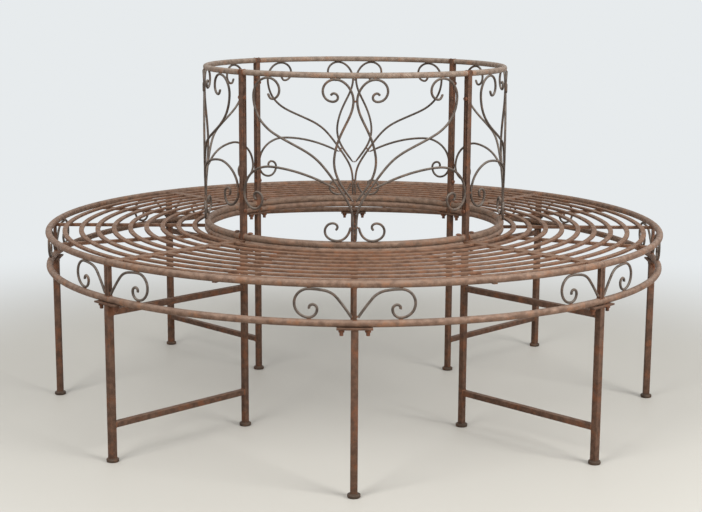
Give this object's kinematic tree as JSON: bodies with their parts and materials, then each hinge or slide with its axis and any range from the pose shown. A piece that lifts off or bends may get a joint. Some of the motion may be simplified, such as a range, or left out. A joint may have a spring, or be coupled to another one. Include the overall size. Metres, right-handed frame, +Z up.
{
  "type": "round tree bench",
  "caption": "Round garden bench that stands around a tree, with a curved slatted seat on square legs, an apron with scrolls and a round backrest of bent-rod scrollwork.",
  "frame": {"origin": "on the ground at the middle of the bench, which is the bottom centre of its bounding box", "axes": "+Z up, -Y out through the middle of the front seat section, +X to the right of someone who faces the front"},
  "size_m": [1.594, 1.594, 0.879],
  "materials": {
    "leg_steel": "aged brown paint with rust bloom",
    "seat_tube": "aged brown paint worn lighter on top",
    "slat_steel": "aged brown paint worn lighter on top",
    "scroll_rod": "aged dark brown paint",
    "foot": "dull dark brown",
    "fastener": "rusted"
  },
  "bodies": {
    "root": {"front_leg": "leg_steel", "front_right_leg": "leg_steel", "right_leg": "leg_steel", "back_right_leg": "leg_steel", "back_leg": "leg_steel", "back_left_leg": "leg_steel", "left_leg": "leg_steel", "front_left_leg": "leg_steel", "front_right_post": "leg_steel", "back_right_post": "leg_steel", "back_left_post": "leg_steel", "front_left_post": "leg_steel", "front_right_stretcher": "leg_steel", "back_right_stretcher": "leg_steel", "back_left_stretcher": "leg_steel", "front_left_stretcher": "leg_steel", "front_right_brace": "leg_steel", "back_right_brace": "leg_steel", "back_left_brace": "leg_steel", "front_left_brace": "leg_steel", "front_outer_tube": "seat_tube", "right_outer_tube": "seat_tube", "back_outer_tube": "seat_tube", "left_outer_tube": "seat_tube", "front_apron_tube": "seat_tube", "right_apron_tube": "seat_tube", "back_apron_tube": "seat_tube", "left_apron_tube": "seat_tube", "front_apron_scrolls": "scroll_rod", "right_apron_scrolls": "scroll_rod", "back_apron_scrolls": "scroll_rod", "left_apron_scrolls": "scroll_rod", "front_inner_tube": "seat_tube", "right_inner_tube": "seat_tube", "back_inner_tube": "seat_tube", "left_inner_tube": "seat_tube", "front_slats": "slat_steel", "right_slats": "slat_steel", "back_slats": "slat_steel", "left_slats": "slat_steel", "front_ribs": "slat_steel", "right_ribs": "slat_steel", "back_ribs": "slat_steel", "left_ribs": "slat_steel", "front_bottom_rail": "seat_tube", "right_bottom_rail": "seat_tube", "back_bottom_rail": "seat_tube", "left_bottom_rail": "seat_tube", "front_top_rail": "seat_tube", "right_top_rail": "seat_tube", "back_top_rail": "seat_tube", "left_top_rail": "seat_tube", "front_back_scrolls": "scroll_rod", "right_back_scrolls": "scroll_rod", "back_back_scrolls": "scroll_rod", "left_back_scrolls": "scroll_rod", "feet": "foot", "plates": "leg_steel", "bolts": "fastener", "nuts": "fastener"}
  },
  "joints": []
}
